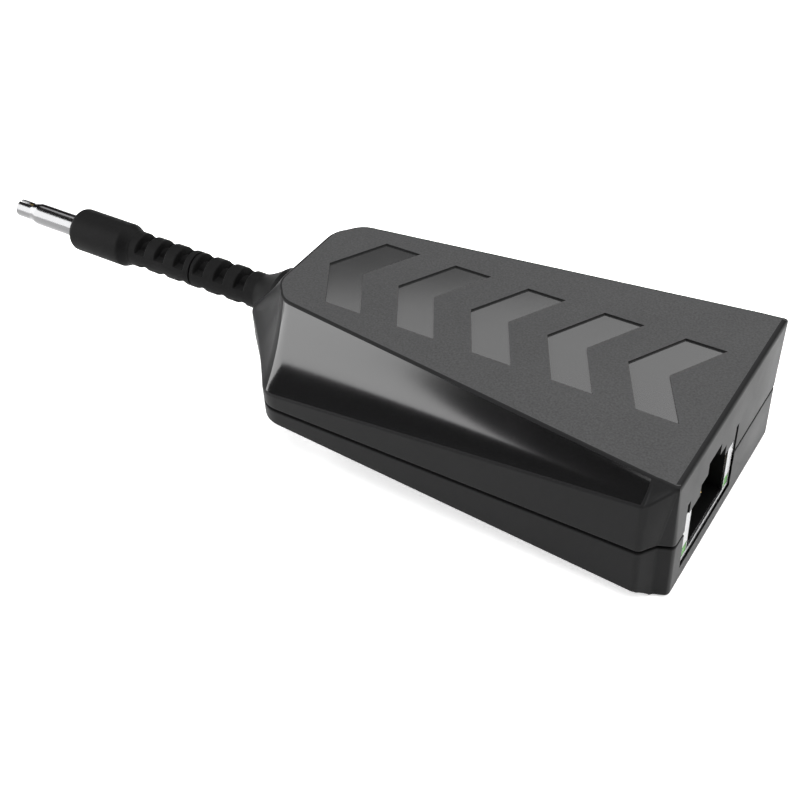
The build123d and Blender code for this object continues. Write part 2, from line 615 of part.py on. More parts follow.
def build_parts():
    form, hollow, inner = case_form(), case_form(WALL), case_form(MERGE)
    return {
        "upper_shell": upper_shell(form, hollow, inner),
        "lower_shell": lower_shell(form, hollow, inner),
        "case_screws": [case_screw(x, y) for x, y in SCREW_PLACES],
        "jack_housing": jack_housing(),
        "jack_shield": jack_shield(),
        "jack_light_pipes": light_pipes(),
        "jack_contact_springs": [contact_spring(y) for y in contact_rows()],
        "jack_contact_legs": contact_legs(),
        "circuit_board": circuit_board(),
        "lan_transformer": lan_transformer(),
        "lan_transformer_legs": lan_transformer_legs(),
        "transformer_bobbin": transformer_bobbin(),
        "transformer_core": transformer_core(),
        "input_capacitor": can(*INPUT_CAN),
        "output_capacitors": [can(*place) for place in OUTPUT_CANS],
        "bridge_rectifiers": [hung(*place) for place in RECTIFIERS],
        "power_controller": hung(*CONTROLLER),
        "switching_transistor": hung(*TRANSISTOR),
        "output_diode": hung(*DIODE),
        "output_inductor": output_inductor(),
        "chip_capacitors": chips(CAPACITOR_PLACES, CAPACITOR_SIZE),
        "chip_resistors": chips(RESISTOR_PLACES, RESISTOR_SIZE),
        "supply_lead_positive": supply_lead(1),
        "supply_lead_negative": supply_lead(-1),
        "cable_root": cable(CABLE_START_X, FLARE_X),
        "cable_near_half": cable(FLARE_X, RELIEF_MID_X),
        "cable_far_half": cable(RELIEF_MID_X, BARREL_ROOT_X),
        "relief_root": relief_root(form),
        "relief_near_half": relief_half(FLARE_X, RELIEF_MID_X),
        "relief_far_half": relief_half(RELIEF_MID_X, RELIEF_END_X),
        "plug_grip": plug_grip(),
        "plug_sleeve": plug_sleeve(),
        "plug_insulator": plug_insulator(),
        "plug_centre_contact": plug_centre_contact(),
    }


os.makedirs("parts", exist_ok=True)
for name, shape in build_parts().items():
    solids = shape if isinstance(shape, list) else [shape]
    solids = [solid for piece in solids for solid in piece.solids()]
    print(name, len(solids), round(sum(solid.volume for solid in solids), 2))
    export_step(Compound(children=solids) if len(solids) > 1 else solids[0], f"parts/{name}.step")
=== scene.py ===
import json
import math

import bmesh
import bpy
import numpy as np
from mathutils import Matrix, Quaternion, Vector


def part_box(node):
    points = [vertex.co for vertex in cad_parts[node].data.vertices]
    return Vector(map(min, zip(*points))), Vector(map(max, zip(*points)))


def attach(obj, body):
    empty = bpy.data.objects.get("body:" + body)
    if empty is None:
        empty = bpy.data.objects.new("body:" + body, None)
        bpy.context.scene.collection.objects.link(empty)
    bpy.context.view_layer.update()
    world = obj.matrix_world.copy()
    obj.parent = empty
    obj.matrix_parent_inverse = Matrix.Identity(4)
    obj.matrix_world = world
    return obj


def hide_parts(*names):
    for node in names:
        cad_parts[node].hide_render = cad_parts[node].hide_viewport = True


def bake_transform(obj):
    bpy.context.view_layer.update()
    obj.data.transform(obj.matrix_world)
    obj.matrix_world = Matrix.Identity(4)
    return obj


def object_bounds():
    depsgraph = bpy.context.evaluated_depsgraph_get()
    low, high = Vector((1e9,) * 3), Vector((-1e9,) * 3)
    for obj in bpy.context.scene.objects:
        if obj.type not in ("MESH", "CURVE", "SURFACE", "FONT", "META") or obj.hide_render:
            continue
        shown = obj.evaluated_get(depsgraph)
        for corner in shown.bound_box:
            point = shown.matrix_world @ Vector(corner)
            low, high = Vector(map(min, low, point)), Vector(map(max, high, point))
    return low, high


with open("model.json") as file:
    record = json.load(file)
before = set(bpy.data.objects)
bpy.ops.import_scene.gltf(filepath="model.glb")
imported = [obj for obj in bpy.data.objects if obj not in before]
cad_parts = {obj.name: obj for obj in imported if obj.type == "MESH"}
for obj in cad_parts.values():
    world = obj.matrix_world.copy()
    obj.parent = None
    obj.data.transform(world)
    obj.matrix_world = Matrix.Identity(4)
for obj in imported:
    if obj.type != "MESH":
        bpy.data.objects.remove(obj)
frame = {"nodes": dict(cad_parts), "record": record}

# The looks of an in-line power adapter: its case, its network jack and its short moulded tail with a
# barrel plug. Shapes are worked out in millimetres and turned into metres as each mesh is made.
MM = 0.001
cad_low, cad_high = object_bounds()


def box_mm(node):
    """Lowest and highest corner of a CAD node in millimetres."""
    low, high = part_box(node)
    return low / MM, high / MM


# ---------------------------------------------------------------- sizes, from the frame where it has them
# Every length is in millimetres. "Low" and "high" are a CAD node's corners.
UPPER_LOW, UPPER_HIGH = box_mm("upper_shell")
END_X, HALF_W, TOP, PARTING = UPPER_HIGH.x, UPPER_HIGH.y, UPPER_HIGH.z, UPPER_LOW.z
SHIELD_LOW, SHIELD_HIGH = box_mm("jack_shield")
GRIP_LOW, GRIP_HIGH = box_mm("plug_grip")
SLEEVE_LOW, SLEEVE_HIGH = box_mm("plug_sleeve")
NEAR_LOW, NEAR_HIGH = box_mm("relief_near_half")
FAR_LOW, FAR_HIGH = box_mm("relief_far_half")
ROOT_LOW, ROOT_HIGH = box_mm("relief_root")
CABLE_LOW, CABLE_HIGH = box_mm("cable_near_half")

# case: plan outline, raised flat, wall and the groove between the shells
WALL, GROOVE = 1.5, 0.45
JACK_CORNER = (3.4, 2.9)
TAIL_CORNER_X, TAIL_FLAT_Y = -22.6, 5.4
FLAT_HALF_W0, FLAT_X0, FLAT_HALF_W1 = 10.2, -25.7, 18.1
FLAT_CORNERS = ((-25.4, 10.2), (-28.3, 6.8))
FLAT_OVERRUN, LOWEST_CEILING, ROOF_GAP = 2.5, 0.8, 1.2
CORNER_BULGE = 0.35
LEAN_INSET = (0.12, 0.1)
# depth of the scoops and of the tail facets, as a share of their chord
SCOOP_DEPTH, FACET_DEPTH = 0.1, 0.02
# crease heights at the tail corner and at the jack end
CREASE_TOP, CREASE_LOW = (11.2, 16.8), (6.3, 1.5)
# softening of the creases at the jack end and elsewhere, and of the lip at the groove
EDGE_R, SOFT_R, LIP_R = 0.75, 0.3, 0.12
LIP_LINE = ((GROOVE, 0.0), (LIP_R, 0.0), (LIP_R * 0.3, LIP_R * 0.3), (0.0, LIP_R))
BAND_START, LEAST_WINDOW = 0.2, 0.01
# how much of each outline corner is rounded off, jack end first: outer outline and the flat's edge
OUTER_TRIMS = (0, 0.6, 0.3, 0.6, 2.0, 1.12, 0)
EDGE_TRIMS = (0, 0.6, 0.3, 0.3, 1.5, 1.5, 0)
# mesh density of the case
STATION_COUNTS = (16, 3, 4, 60, 18, 5)
BEND_STEPS, BAND_ROWS, CREASE_ROWS, SCOOP_ROWS, EDGE_ROWS, INNER_ROWS = 10, 4, 9, 14, 9, 4
CURVE_POINTS, WINDOW_POINTS = 33, 41
# places along the outline, jack end first: k.5 is a straight side, whole numbers are the middles of its bends
END_FACE_PLACE, CORNER_PLACES, SCOOP_PLACES = 1.2, (0.6, 2.0), (3.4, 4.0)
SOFT_PLACES, FACET_PLACES = (1.7, 2.7), (4.4, 5.3)
# arrow recesses
ARROW_COUNT, ARROW_PITCH, ARROW_TIP_X = 5, 11.3, -24.4
ARROW_BACK, ARROW_HALF_H, ARROW_W, ARROW_DEPTH = 4.5, 7.8, 5.6, 0.25
# opening for the jack, with its latch steps as (width, top), and the screw wells
PORT_Z1, PORT_TOP_STEPS, SLIT_TOP = 11.5, ((8.1, 13.25), (4.0, 15.1)), 13.6
PORT_CUT_DEPTH, PORT_SIDE_GAP, PORT_FLOOR_GAP, PORT_SLIT_HALF = 3.2, 0.25, 0.3, 0.45
SCREWS = ((-21.5, 7.2), (-21.5, -7.2), (28.0, 14.0), (9.0, -12.2))
SCREW_SEAT_Z, SCREW_HOLE_R = 2.4, 2.1
# tail: slots in the sleeve with their rounded lips and toes, mesh steps beside them, the flare and the grip
SLOT_PITCH, SLOT_W, SLOT_FIRST_X, SLOT_COUNT, SLOT_WEB = 3.8, 1.7, -39.05, 6, 1.0
SLOT_LIP, SLOT_TOE, SLOT_FACE, WEB_COVER = 0.24, 0.12, 0.03, 0.05
SLOT_STEPS = (-0.26, -0.2, -0.14, -0.08, -0.03, 0.0, 0.03, 0.08, 0.15)
WEB_STEPS, LEAST_ROW_GAP = (-0.05, 0.0, 0.08, 0.2), 0.012
FLARE_HIDDEN_X, FLARE_X0, FLARE_X1, FLARE_POWER = -31.2, -33.2, -37.25, 1.37
GRIP_CONE, GRIP_EDGE_R, GRIP_LAP = 1.7, 0.9, 0.3
# barrel of the plug: its cone runs between two x, then a narrower tip with a slit
BARREL_CONE_X, BARREL_TIP_R, BARREL_WALL = (-81.9, -83.2), 1.42, 0.38
BARREL_ROOT_R, BARREL_ROUND, BARREL_HIDDEN = 1.5, 0.15, 0.3
SLIT_W, SLIT_LEN = 0.45, 3.1
TAIL_SIDES, BARREL_SIDES = 96, 128

JACK_Y = (SHIELD_LOW.y + SHIELD_HIGH.y) / 2
JACK_HALF_W = (SHIELD_HIGH.y - SHIELD_LOW.y) / 2
TAIL_Z = (GRIP_LOW.z + GRIP_HIGH.z) / 2
RELIEF_R = (NEAR_HIGH.z - NEAR_LOW.z) / 2
CORE_R = (CABLE_HIGH.z - CABLE_LOW.z) / 2
GRIP_R = (GRIP_HIGH.z - GRIP_LOW.z) / 2
BARREL_R = (SLEEVE_HIGH.z - SLEEVE_LOW.z) / 2


# ---------------------------------------------------------------- camera, light and floor
CAMERA_ANGLES = (33.70, 40.85, -3.11)
CAMERA_PLACE = (67.75, -122.4, 125.65)
LENS, SENSOR = 59.6, 36.0
CLIP = (0.005, 20.0)
# brightness of the surroundings by the cosine from the zenith of a tilted sky: dark round a bright top
SKY_AXIS = (0.25, 0.45, 0.86)
SKY = ((0.0, 0.02), (0.52, 0.03), (0.76, 0.3), (0.9, 0.7), (1.0, 0.6))
SCOOP_CARD_ROLL = 16
FLOOR_SIZE, FLOOR_DROP, FLOOR_GLOW = 6, 0.0001, 0.5


def make_camera():
    """Looks down along the case from beyond the jack, with a slight roll."""
    azimuth, elevation, roll = (math.radians(angle) for angle in CAMERA_ANGLES)
    flat = math.cos(elevation)
    back = Vector((math.sin(azimuth) * flat, -math.cos(azimuth) * flat, math.sin(elevation)))
    level = Vector((math.cos(azimuth), math.sin(azimuth), 0))
    up = back.cross(level)
    right = math.cos(roll) * level + math.sin(roll) * up
    up = math.cos(roll) * up - math.sin(roll) * level
    data = bpy.data.cameras.new("camera")
    data.lens, data.sensor_width = LENS, SENSOR
    data.clip_start, data.clip_end = CLIP
    camera = bpy.data.objects.new("camera", data)
    bpy.context.scene.collection.objects.link(camera)
    turn = Matrix((right, up, back)).transposed().to_4x4()
    camera.matrix_world = Matrix.Translation(Vector(CAMERA_PLACE) * MM) @ turn
    bpy.context.scene.camera = camera


def area_light(name, place, aim, size, power):
    """A white softbox of size (across, along) in metres that faces aim, with its power in watts."""
    data = bpy.data.lights.new(name, "AREA")
    data.shape, data.size, data.size_y = "RECTANGLE", size[0], size[1]
    data.energy = power
    lamp = bpy.data.objects.new(name, data)
    lamp.location = place
    lamp.rotation_mode = "QUATERNION"
    lamp.rotation_quaternion = (Vector(aim) - Vector(place)).to_track_quat("-Z", "Y")
    bpy.context.scene.collection.objects.link(lamp)
    return lamp


def around(name, azimuth, elevation, distance, size, power, roll=0):
    """A softbox in a given direction from the case, that faces it, rolled about its own axis; in degrees."""
    turn, rise = math.radians(azimuth), math.radians(elevation)
    way = Vector((math.cos(turn) * math.cos(rise), math.sin(turn) * math.cos(rise), math.sin(rise)))
    lamp = area_light(name, way * distance, (0, 0, 0), size, power)
    lamp.rotation_quaternion @= Quaternion((0, 0, 1), math.radians(roll))


def make_studio():
    """Surroundings, a large softbox above, a fill for the jack end and two cards that the gloss reflects."""
    scene = bpy.context.scene
    scene.view_settings.view_transform = "Standard"
    world = bpy.data.worlds.new("studio")
    scene.world = world
    world.use_nodes = True
    tree = world.node_tree
    where = tree.nodes.new("ShaderNodeTexCoord")
    height = tree.nodes.new("ShaderNodeVectorMath")
    height.operation = "DOT_PRODUCT"
    height.inputs[1].default_value = SKY_AXIS
    sky = tree.nodes.new("ShaderNodeValToRGB")
    sky.color_ramp.elements.remove(sky.color_ramp.elements[1])
    for k, (place, level) in enumerate(SKY):
        step = sky.color_ramp.elements[0] if k == 0 else sky.color_ramp.elements.new(place)
        step.position, step.color = place, (level, level, level, 1)
    tree.links.new(where.outputs["Generated"], height.inputs[0])
    tree.links.new(height.outputs["Value"], sky.inputs["Fac"])
    tree.links.new(sky.outputs["Color"], tree.nodes["Background"].inputs["Color"])
    area_light("overhead", (0.5, 0.22, 0.9), (0.5, 0.22, 0), (1.5, 1.5), 18.0)
    area_light("jack_side", (0.75, -0.2, 0.35), (0.03, 0, 0.01), (0.5, 0.4), 0.62)
    around("scoop_card", -156, 19, 0.6, (0.6, 0.47), 5.3, SCOOP_CARD_ROLL)
    around("arrow_card", 117, 54, 0.7, (0.8, 0.42), 2.3)


def make_floor():
    """Pale paper that glows a little, so that only a faint shadow shows, as in the photograph."""
    bpy.ops.mesh.primitive_plane_add(size=FLOOR_SIZE)
    floor = bpy.context.object
    floor.name = "floor"
    floor.location.z = cad_low.z - FLOOR_DROP
    paper, shader = plain_material("floor_paper", (0.93, 0.93, 0.93), 0.9)
    shader.inputs["Emission Color"].default_value = (1, 1, 1, 1)
    shader.inputs["Emission Strength"].default_value = FLOOR_GLOW
    floor.data.materials.append(paper)


# ---------------------------------------------------------------- materials
# the range of a noise that is spread out, the detail of the grain, and the slow drift of the roughness
NOISE_MIDDLE = (0.3, 0.7)
GRAIN_DETAIL, GRAIN_ROUGHNESS = 3.0, 0.6
DRIFT_PER_MM, DRIFT_DETAIL, PAPER_PER_MM = 0.12, 4.0, 0.004
BUMP_STRENGTH = 0.5


def node_kit(name):
    """A new material with its tree, its shader and object coordinates in millimetres."""
    material = bpy.data.materials.new(name)
    material.use_nodes = True
    tree = material.node_tree
    shader = tree.nodes["Principled BSDF"]
    where = tree.nodes.new("ShaderNodeTexCoord")
    scale = tree.nodes.new("ShaderNodeMapping")
    scale.inputs["Scale"].default_value = (1 / MM, 1 / MM, 1 / MM)
    tree.links.new(where.outputs["Object"], scale.inputs["Vector"])
    return material, tree, shader, scale.outputs["Vector"]


def noise(tree, vector, per_mm, detail=2.0, rough=0.5):
    made = tree.nodes.new("ShaderNodeTexNoise")
    made.inputs["Scale"].default_value = per_mm
    made.inputs["Detail"].default_value = detail
    made.inputs["Roughness"].default_value = rough
    tree.links.new(vector, made.inputs["Vector"])
    return made.outputs["Fac"]


def spread(tree, value, low, high):
    """Maps the middle of a noise to low..high."""
    made = tree.nodes.new("ShaderNodeMapRange")
    made.inputs["From Min"].default_value, made.inputs["From Max"].default_value = NOISE_MIDDLE
    made.inputs["To Min"].default_value, made.inputs["To Max"].default_value = low, high
    tree.links.new(value, made.inputs["Value"])
    return made.outputs["Result"]


def shade(tree, value, dark, light):
    """A colour between dark and light, by a noise."""
    made = tree.nodes.new("ShaderNodeValToRGB")
    for step, place, color in zip(made.color_ramp.elements, NOISE_MIDDLE, (dark, light)):
        step.position, step.color = place, (*color, 1)
    tree.links.new(value, made.inputs["Fac"])
    return made.outputs["Color"]


def bump(tree, shader, height, depth):
    made = tree.nodes.new("ShaderNodeBump")
    made.inputs["Strength"].default_value = BUMP_STRENGTH
    made.inputs["Distance"].default_value = depth * MM
    tree.links.new(height, made.inputs["Height"])
    tree.links.new(made.outputs["Normal"], shader.inputs["Normal"])


def textured(name, color, vary, rough, grain, depth, metallic=0.0, specular=0.5):
    """A moulded or plated surface: grains per mm, their depth in mm; colour and roughness vary a little."""
    material, tree, shader, vector = node_kit(name)
    shader.inputs["Metallic"].default_value = metallic
    shader.inputs["Specular IOR Level"].default_value = specular
    fine = noise(tree, vector, grain, GRAIN_DETAIL, GRAIN_ROUGHNESS)
    dark = tuple(c * (1 - vary) for c in color)
    light = tuple(c * (1 + vary) for c in color)
    tree.links.new(shade(tree, fine, dark, light), shader.inputs["Base Color"])
    broad = noise(tree, vector, DRIFT_PER_MM, DRIFT_DETAIL)
    tree.links.new(spread(tree, broad, *rough), shader.inputs["Roughness"])
    bump(tree, shader, fine, depth)
    return material


def plain_material(name, color, rough):
    """An even surface, with its shader."""
    material, tree, shader, vector = node_kit(name)
    drift = shade(tree, noise(tree, vector, PAPER_PER_MM), tuple(0.99 * c for c in color), color)
    tree.links.new(drift, shader.inputs["Base Color"])
    shader.inputs["Roughness"].default_value = rough
    return material, shader


def case_materials():
    """The shells' material slots, in the order TOP_TEXTURE, SATIN, GLOSS, ARROW, END_LIT_COPY; the last is
    the satin plastic again, a little darker and with more sheen, set for the light on the end face (painted
    light).
    """
    return [
        textured("case_top_texture", (0.03, 0.03, 0.0305), 0.3, (0.52, 0.6), 3.6, 0.03, specular=0.25),
        textured("case_satin_band", (0.0115, 0.0115, 0.0118), 0.08, (0.4, 0.48), 6.0, 0.008, specular=0.05),
        textured("case_gloss_scoop", (0.005, 0.005, 0.0052), 0.05, (0.12, 0.14), 0.5, 0.002, specular=0.5),
        textured("case_arrow_floor", (0.02, 0.02, 0.0202), 0.05, (0.1, 0.12), 5.0, 0.002, specular=0.5),
        # painted light: the end face's copy of the satin plastic, a little darker and with more sheen, tuned
        # to the light that falls there
        textured("case_end_painted_light", (0.0105, 0.0105, 0.0107), 0.06, (0.4, 0.48), 6.0, 0.008, specular=0.12),
    ]


# the last slot is the end face's painted-light copy of the satin plastic
TOP_TEXTURE, SATIN, GLOSS, ARROW, END_LIT_COPY = range(5)
# by slot: colour, its variation, roughness, grains per mm, their depth in mm, metallic, specular level
FINISHES = {
    "case_plastic": ((0.0115, 0.0115, 0.0118), 0.08, (0.4, 0.5), 6, 0.008, 0.0, 0.1),
    "rubber": ((0.005, 0.005, 0.0051), 0.12, (0.5, 0.62), 3.0, 0.02, 0.0, 0.05),
    "jack_plastic": ((0.003, 0.003, 0.003), 0.1, (0.35, 0.45), 4, 0.006, 0.0, 0.08),
    "jack_metal": ((0.37, 0.37, 0.375), 0.03, (0.2, 0.3), 2.0, 0.002, 1.0),
    "contact_gold": ((0.83, 0.6, 0.24), 0.05, (0.2, 0.28), 6, 0.002, 1.0),
    "light_green": ((0.03, 0.2, 0.004), 0.12, (0.2, 0.3), 1.5, 0.004, 0.0, 0.06),
    "board_green": ((0.02, 0.12, 0.05), 0.15, (0.25, 0.35), 1.2, 0.01),
    "component_black": ((0.02, 0.02, 0.02), 0.15, (0.5, 0.6), 5, 0.01),
    "solder_tin": ((0.75, 0.75, 0.74), 0.05, (0.3, 0.4), 3, 0.004, 1.0),
    "ferrite": ((0.05, 0.05, 0.055), 0.2, (0.6, 0.7), 4, 0.02),
    "winding_tape": ((0.7, 0.46, 0.06), 0.08, (0.2, 0.3), 0.8, 0.02),
    "can_sleeve": ((0.02, 0.03, 0.08), 0.1, (0.25, 0.35), 1.0, 0.01),
    "ceramic": ((0.45, 0.32, 0.2), 0.1, (0.5, 0.6), 6, 0.006),
    "lead_red": ((0.5, 0.015, 0.012), 0.06, (0.3, 0.4), 1.5, 0.006),
    "lead_black": ((0.015, 0.015, 0.015), 0.06, (0.3, 0.4), 1.5, 0.006),
    "cable_jacket": ((0.02, 0.02, 0.02), 0.08, (0.4, 0.5), 2, 0.01),
    "plug_chrome": ((0.15, 0.15, 0.152), 0.02, (0.16, 0.2), 1.2, 0.001, 1.0),
    "insulator": ((0.02, 0.02, 0.02), 0.08, (0.4, 0.5), 4, 0.006),
    "screw_steel": ((0.42, 0.42, 0.43), 0.08, (0.28, 0.4), 5, 0.004, 1.0),
}
finish_of = {slot: textured(slot, *look) for slot, look in FINISHES.items()}


# ---------------------------------------------------------------- mesh helpers
FLAT_WEIGHT = 90
FINE_MERGE = 0.0005


def mesh_piece(name, points, faces, materials, indices=None):
    """An object from points in millimetres, with its materials."""
    data = bpy.data.meshes.new(name)
    data.from_pydata([tuple(p) for p in np.asarray(points, float) * MM], [], faces)
    for material in materials:
        data.materials.append(material)
    if indices is not None:
        data.polygons.foreach_set("material_index", indices)
    data.update()
    piece = bpy.data.objects.new(name, data)
    bpy.context.scene.collection.objects.link(piece)
    return piece


def tidy_mesh(piece, sharp_deg=32.0, merge=0.002):
    """Merges doubled points, turns faces outward and marks the sharp edges."""
    made = bmesh.new()
    made.from_mesh(piece.data)
    bmesh.ops.remove_doubles(made, verts=made.verts, dist=merge * MM)
    bmesh.ops.dissolve_degenerate(made, edges=made.edges, dist=merge * MM * 0.5)
    bmesh.ops.recalc_face_normals(made, faces=made.faces)
    made.to_mesh(piece.data)
    made.free()
    piece.data.shade_smooth()
    piece.data.set_sharp_from_angle(angle=math.radians(sharp_deg))


def cut_away(piece, cutters):
    """Takes the cutters out of the piece and removes them."""
    for cutter in cutters:
        step = piece.modifiers.new("cut", "BOOLEAN")
        step.operation, step.solver, step.object = "DIFFERENCE", "EXACT", cutter
    graph = bpy.context.evaluated_depsgraph_get()
    cut = bpy.data.meshes.new_from_object(piece.evaluated_get(graph))
    piece.modifiers.clear()
    piece.data = cut
    for cutter in cutters:
        bpy.data.objects.remove(cutter)


def prism_cutter(outline, z0, z1, materials, index):
    """An upright prism on a plan outline, whose faces all have one material."""
    count = len(outline)
    points = [(x, y, z0) for x, y in outline] + [(x, y, z1) for x, y in outline]
    faces = [tuple(reversed(range(count))), tuple(range(count, 2 * count))]
    faces += [(k, (k + 1) % count, (k + 1) % count + count, k + count) for k in range(count)]
    cutter = mesh_piece("cutter", points, faces, materials, [index] * len(faces))
    cutter.hide_render = True
    return cutter


def box_outline(x0, x1, y0, y1):
    return [(x0, y0), (x1, y0), (x1, y1), (x0, y1)]


def circle_outline(x, y, radius, count=48):
    turns = [2 * math.pi * k / count for k in range(count)]
    return [(x + radius * math.cos(t), y + radius * math.sin(t)) for t in turns]


def weighted(piece):
    """Keeps large flat faces flat under smooth shading."""
    step = piece.modifiers.new("even_normals", "WEIGHTED_NORMAL")
    step.keep_sharp, step.weight = True, FLAT_WEIGHT


# ---------------------------------------------------------------- case skins
def flat_half_width(x):
    """Half width of the raised flat at x."""
    return FLAT_HALF_W0 + (x - FLAT_X0) * (FLAT_HALF_W1 - FLAT_HALF_W0) / (END_X - FLAT_X0)


def grow(x, values):
    """A height that runs straight from the tail corner to the jack end."""
    share = max(0.0, (x - TAIL_CORNER_X) / (END_X - TAIL_CORNER_X))
    return values[0] + share * (values[1] - values[0])


def smooth_share(value, low, high):
    """0 below low, 1 above high, and an S-curve between them."""
    t = max(0.0, min(1.0, (value - low) / (high - low)))
    return t * t * (3 - 2 * t)


def rounded_corner(before, corner, after, trim, count):
    """Points of the bend that rounds a corner, trimmed by the same length on both sides."""
    before, corner, after = (np.array(p, float) for p in (before, corner, after))
    start = corner + (before - corner) / np.linalg.norm(before - corner) * trim
    end = corner + (after - corner) / np.linalg.norm(after - corner) * trim
    shares = np.linspace(0, 1, count + 1)
    return [(1 - t) ** 2 * start + 2 * t * (1 - t) * corner + t * t * end for t in shares]


def brow_point():
    """Where the flat's long edge meets the flat across the case's corner at the jack end."""
    cut_x, cut_y = JACK_CORNER
    edge_slope = (FLAT_HALF_W1 - FLAT_HALF_W0) / (END_X - FLAT_X0)
    x = END_X - cut_x * (HALF_W - flat_half_width(END_X)) / (cut_y + cut_x * edge_slope)
    return x, flat_half_width(x)


def swell(point):
    """Pushes a point of the corner facet outward, as the facet is slightly crowned."""
    start, end = np.array((TAIL_CORNER_X, HALF_W)), np.array((-END_X, TAIL_FLAT_Y))
    chord = end - start
    share = float((point - start) @ chord / (chord @ chord))
    if not 0 < share < 1:
        return point
    outward = np.array((chord[1], -chord[0])) / -np.linalg.norm(chord)
    return point + outward * 4 * CORNER_BULGE * share * (1 - share)


def plan_stations():
    """(outer point, flat's edge point, place) along the half outline with y >= 0, jack end first.

    A straight side keeps one place, k + 0.5, and the bend after it runs on to the next side's place.
    """
    cut_x, cut_y = JACK_CORNER
    brow, side_x = brow_point(), END_X - cut_x
    outer = [(END_X, 0), (END_X, HALF_W - cut_y), brow, (side_x, HALF_W), (TAIL_CORNER_X, HALF_W),
             (-END_X, TAIL_FLAT_Y), (-END_X, 0)]
    edge = [*outer[:3], (side_x, flat_half_width(side_x)), *FLAT_CORNERS, (FLAT_CORNERS[1][0], 0)]
    stations = []
    for k in range(len(outer) - 1):
        for share in np.linspace(0, 1, STATION_COUNTS[k] + 1)[:-1]:
            pair = []
            for path, trims in ((outer, OUTER_TRIMS), (edge, EDGE_TRIMS)):
                a, b = np.array(path[k], float), np.array(path[k + 1], float)
                along = (b - a) / np.linalg.norm(b - a)
                a, b = a + along * trims[k], b - along * trims[k + 1]
                pair.append(a + (b - a) * share)
            stations.append((*pair, k + 0.5))
        if k + 2 < len(outer):
            bends = [rounded_corner(path[k], path[k + 1], path[k + 2], trims[k + 1], BEND_STEPS)
                     for path, trims in ((outer, OUTER_TRIMS), (edge, EDGE_TRIMS))]
            pairs = list(zip(*bends))[:-1]
            stations += [(o, e, k + 0.5 + j / BEND_STEPS) for j, (o, e) in enumerate(pairs)]
    stations.append((np.array(outer[-1], float), np.array(edge[-1], float), len(outer) - 1.5))
    return [(swell(o), e, place) for o, e, place in stations]


def crease_height(outer, crease, top):
    """Height of the crease above a point of the outline; it climbs to the flat across the jack corner."""
    x, y = float(outer[0]), abs(float(outer[1]))
    if x < END_X - JACK_CORNER[0]:
        return grow(x, crease)
    full = HALF_W - flat_half_width(x)
    share = max(0.0, min(1.0, (HALF_W - y) / full))
    level = grow(x, crease)
    sagged = share - 4 * SCOOP_DEPTH * share * (1 - share)
    return level + (top - level) * max(0.0, sagged)


def section_line(outer, edge, place, crease, level):
    """Sharp-cornered section in (inward, height above the lip).

    Also its arc lengths, those of the crease and of the flat's edge, and its reach inward.
    """
    top = TOP if level > 0 else 0.0
    start = PARTING + level * GROOVE / 2
    height = abs(top - start)
    reach = float(np.linalg.norm(edge - outer))
    low = height if place < 2 else abs(crease_height(outer, crease, top) - start)
    low = min(low, height)
    chord = np.array((reach, height - low))
    length = max(float(np.linalg.norm(chord)), 1e-6)
    across = np.array((chord[1], -chord[0])) / length
    depth = SCOOP_DEPTH + (FACET_DEPTH - SCOOP_DEPTH) * smooth_share(place, *FACET_PLACES)
    shares = np.linspace(0, 1, CURVE_POINTS)[:, None]
    scoop = np.array((0.0, low)) + chord * shares + across * 4 * depth * length * shares * (1 - shares)
    line = np.vstack([(0.0, 0.0), (0.0, low * 0.5), scoop, (reach + FLAT_OVERRUN, height)])
    lengths = np.concatenate([[0], np.cumsum(np.linalg.norm(np.diff(line, axis=0), axis=1))])
    return line, lengths, lengths[2], lengths[-2], reach


def softened(line, lengths, places, window):
    """Points of a line with its corners rounded off by a moving average over +-window."""
    offsets = np.linspace(-1, 1, WINDOW_POINTS)[None, :] * np.asarray(window)[:, None]
    at = np.clip(np.asarray(places)[:, None] + offsets, 0, lengths[-1])
    return np.stack([np.interp(at, lengths, line[:, axis]).mean(axis=1) for axis in (0, 1)], axis=1)


def skin_section(station, crease, level, normal_out, normal_edge):
    """One station's closed section: lip, band, crease, scoop, flat edge, then the inside."""
    outer, edge, place = station
    line, lengths, at_crease, at_edge, reach = section_line(outer, edge, place, crease, level)
    soft = EDGE_R + (SOFT_R - EDGE_R) * smooth_share(place, *SOFT_PLACES)
    half = min(soft, (at_edge - at_crease) / 2)
    places = np.concatenate([
        np.linspace(LIP_R + BAND_START, at_crease - soft, BAND_ROWS),
        np.linspace(at_crease - soft, at_crease + half, CREASE_ROWS)[1:],
        np.linspace(at_crease + half, at_edge - half, SCOOP_ROWS)[1:],
        np.linspace(at_edge - half, at_edge + soft, EDGE_ROWS)[1:],
    ])
    window = np.minimum(soft, np.maximum(places - LEAST_WINDOW, LEAST_WINDOW))
    window = np.minimum(window, np.maximum(lengths[-1] - places, LEAST_WINDOW))
    skin = softened(line, lengths, places, window)
    start = PARTING + level * GROOVE / 2
    inward = -normal_edge if reach < 1e-6 else (edge - outer) / reach
    points = []
    for depth, rise in LIP_LINE:
        plan = outer - normal_out * depth
        points.append((plan[0], plan[1], start + level * rise))
    for depth, rise in skin:
        plan = outer + inward * min(depth, reach) - normal_edge * max(0.0, depth - reach)
        points.append((plan[0], plan[1], start + level * rise))
    height = line[-1][1]
    wall_top = max(LOWEST_CEILING, min(float(lengths[2]), height - ROOF_GAP) - WALL)
    for plan, rise in (
        (edge - normal_edge * (soft + WALL), height - WALL),
        (outer - normal_out * WALL, wall_top),
        (outer - normal_out * WALL, -GROOVE / 2),
        (outer - normal_out * GROOVE, -GROOVE / 2),
    ):
        points.append((plan[0], plan[1], start + level * rise))
    return points


